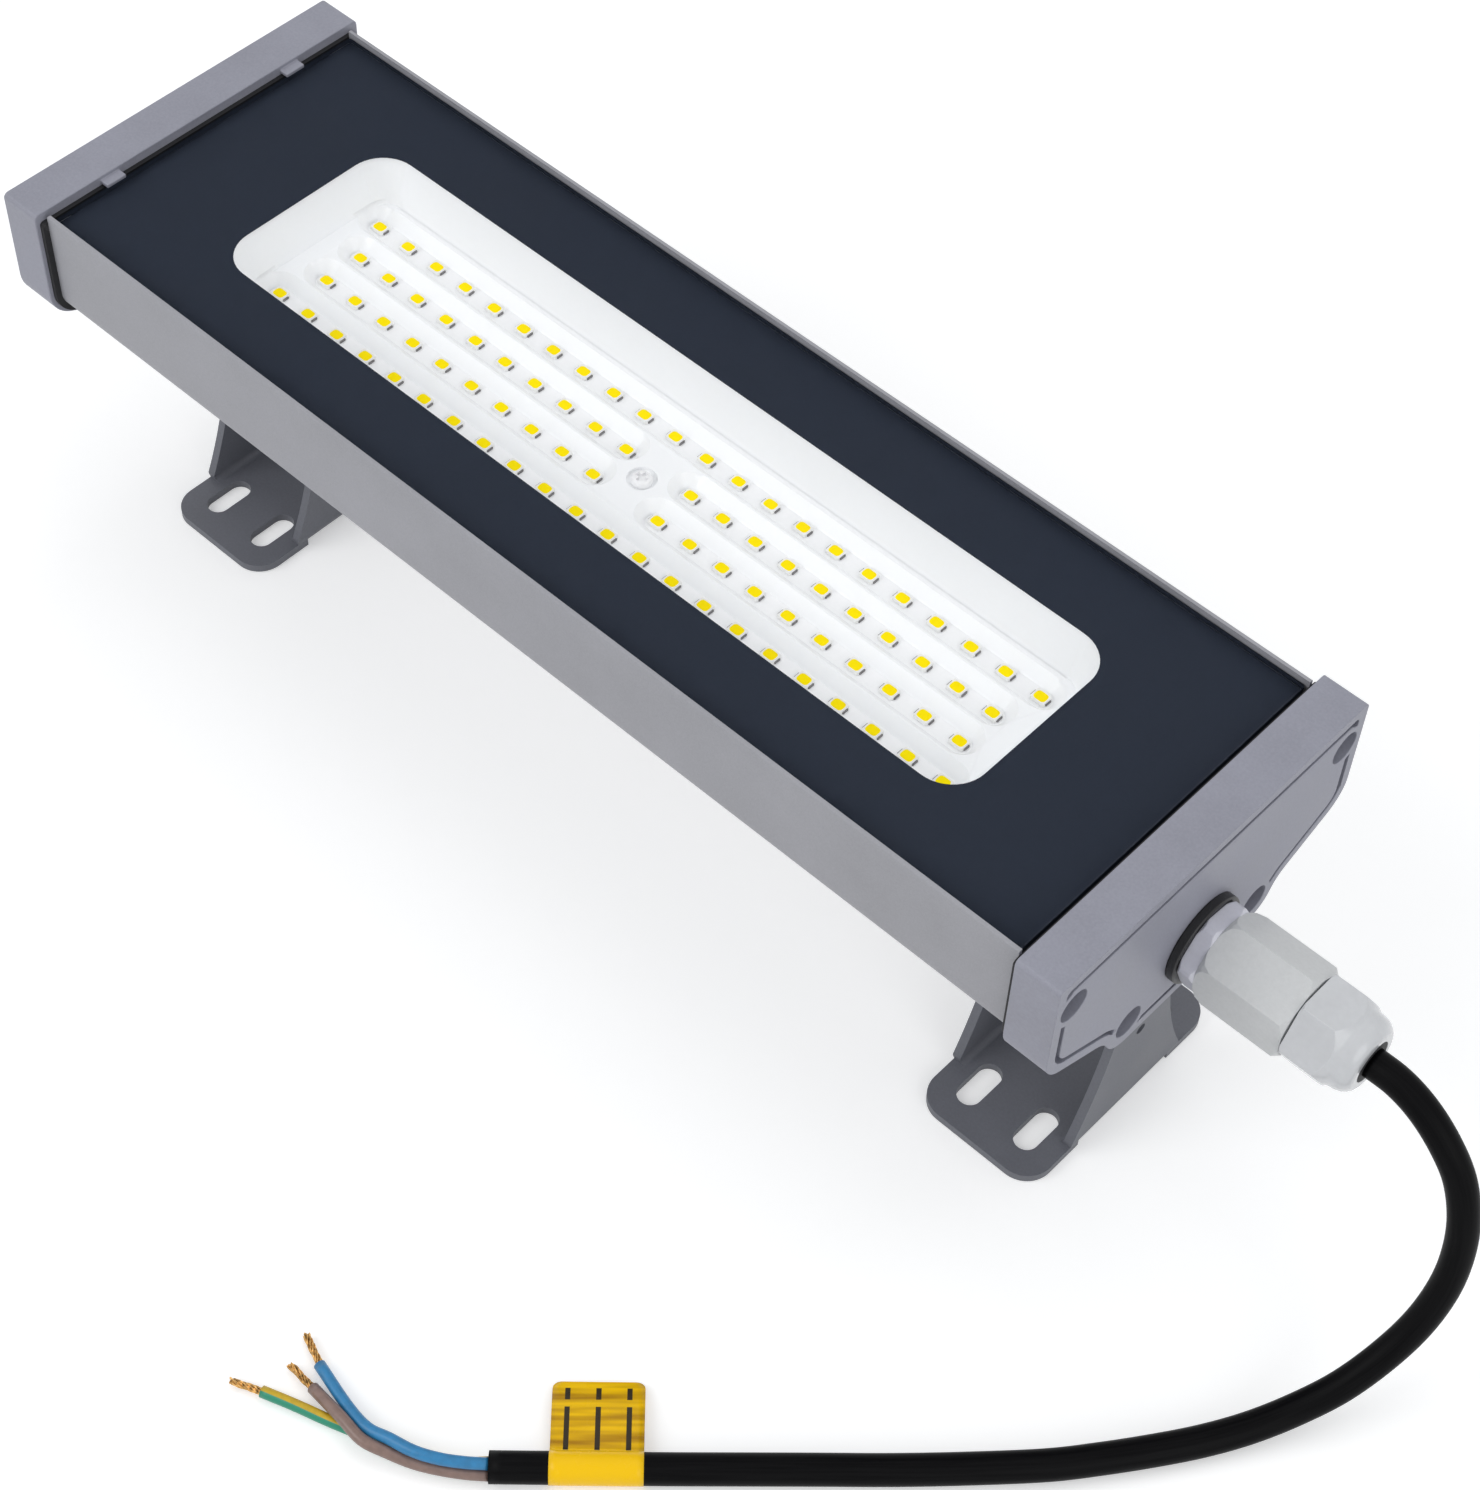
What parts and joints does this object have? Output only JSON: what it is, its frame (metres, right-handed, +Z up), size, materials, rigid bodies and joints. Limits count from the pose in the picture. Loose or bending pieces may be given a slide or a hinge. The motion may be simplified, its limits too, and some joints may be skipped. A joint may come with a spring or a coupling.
{
  "type": "led floodlight",
  "caption": "Slim rectangular floodlight: extruded body with end caps, glass front over rows of small LEDs, two tilting foot brackets and a cable gland with a free lead.",
  "frame": {"origin": "under the middle of the body, on the surface that the two feet stand on", "axes": "+X along the body towards the cable gland, +Y across the body, +Z up, the way the light shines at rest"},
  "size_m": [0.3591, 0.212, 0.096],
  "materials": {
    "body_paint": "fine textured grey paint",
    "cap_paint": "smooth blue-grey paint on a casting",
    "bracket_paint": "dark grey paint, semi-matt",
    "hanger_metal": "cast, semi-matt",
    "plain_aluminium": "folded sheet, satin",
    "screw_steel": "stainless, satin",
    "brass": "turned",
    "copper": "stranded bare copper",
    "black_rubber": "matt",
    "cable_black": "matt rubber sheath",
    "clear_glass": "clear tempered sheet",
    "dark_print": "dark blue-grey print under the glass",
    "white_tray": "white, half gloss",
    "white_screw": "white",
    "board_white": "white solder mask",
    "led_white": "white moulded package",
    "phosphor": "yellow phosphor gel",
    "grey_pad": "soft thermal pad",
    "dark_plastic": "matt",
    "red_lead": "silicone lead",
    "blue_lead": "lead",
    "nylon_washer": "nylon",
    "black_plastic": "moulded, half matt",
    "collar_grey": "moulded nylon",
    "gland_grey": "moulded nylon",
    "gland_gloss": "moulded nylon, glossy",
    "core_blue": "insulation",
    "core_brown": "insulation",
    "core_earth": "striped insulation",
    "label_yellow": "glossy wrap label, unprinted but for plain bars"
  },
  "bodies": {
    "housing": {"body_extrusion": "body_paint", "end_cap_far": "cap_paint", "end_cap_gland": "cap_paint", "cap_gasket_far": "black_rubber", "cap_gasket_gland": "black_rubber", "cap_screws_far": "screw_steel", "cap_screws_gland": "screw_steel", "cover_glass": "clear_glass", "glass_border": "dark_print", "glass_seal": "black_rubber", "reflector": "white_tray", "reflector_screw": "white_screw", "led_board": "board_white", "led_packages": "led_white", "led_phosphors": "phosphor", "thermal_pad": "grey_pad", "board_screws": "screw_steel", "driver_case": "plain_aluminium", "driver_lid": "dark_plastic", "driver_screws": "screw_steel", "output_leads": "red_lead", "lead_grommet": "black_rubber", "mains_leads": "blue_lead", "inner_cable": "cable_black", "earth_screw": "brass", "hanger_far": "hanger_metal", "hanger_gland": "hanger_metal", "hanger_screws": "screw_steel", "pivot_bolts": "screw_steel", "pivot_nuts": "screw_steel", "pivot_washers": "nylon_washer", "gland_washer": "black_plastic", "gland_adapter": "collar_grey", "gland_body": "gland_grey", "gland_seal": "black_rubber", "gland_nut": "gland_gloss", "gland_locknut": "brass", "cable_jacket": "cable_black", "core_blue": "core_blue", "core_brown": "core_brown", "core_earth": "core_earth", "strands_blue": "copper", "strands_brown": "copper", "strands_earth": "copper", "cable_label": "label_yellow"},
    "far_bracket": {"bracket_far": "bracket_paint"},
    "gland_bracket": {"bracket_gland": "bracket_paint"}
  },
  "joints": [
    {"name": "far_bracket_tilt", "type": "hinge", "parent": "housing", "child": "far_bracket", "pos_m": [-0.1096, 0, 0.0435], "axis": [1, 0, 0], "range_deg": [-80, 80]},
    {"name": "gland_bracket_tilt", "type": "hinge", "parent": "housing", "child": "gland_bracket", "pos_m": [0.1202, 0, 0.0435], "axis": [1, 0, 0], "range_deg": [-80, 80]}
  ]
}
